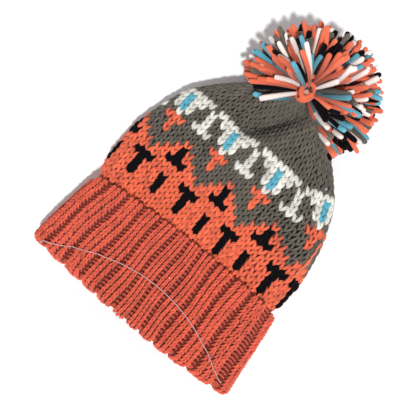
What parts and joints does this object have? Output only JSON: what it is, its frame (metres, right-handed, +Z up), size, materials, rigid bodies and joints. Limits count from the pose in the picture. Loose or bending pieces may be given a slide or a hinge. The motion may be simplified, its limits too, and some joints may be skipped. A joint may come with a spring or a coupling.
{
  "type": "knitted toque",
  "caption": "Chunky knitted toque lying on its back: hollow patterned crown gathered to a tip, turned-up ribbed cuff, and a bobble of cut yarn with its wound tie.",
  "frame": {"origin": "middle of the bottom of the hat's box, on the surface it lies on", "axes": "+Z up from the surface, +Y from the mouth towards the bobble, +X across the hat"},
  "size_m": [0.2331, 0.3468, 0.112],
  "materials": {
    "rib_knit": "salmon ribbed yarn knit, matt and slightly fuzzy",
    "pattern_knit": "orange, taupe grey, white, black and light blue chunky yarn in a stocking-stitch colour pattern",
    "cut_yarn": "coral, taupe grey, white, black and light blue cut yarn",
    "tie_yarn": "coral yarn, matt"
  },
  "bodies": {
    "root": {"cuff": "rib_knit", "crown": "pattern_knit", "pompom": "cut_yarn", "pompom_tie": "tie_yarn"}
  },
  "joints": []
}
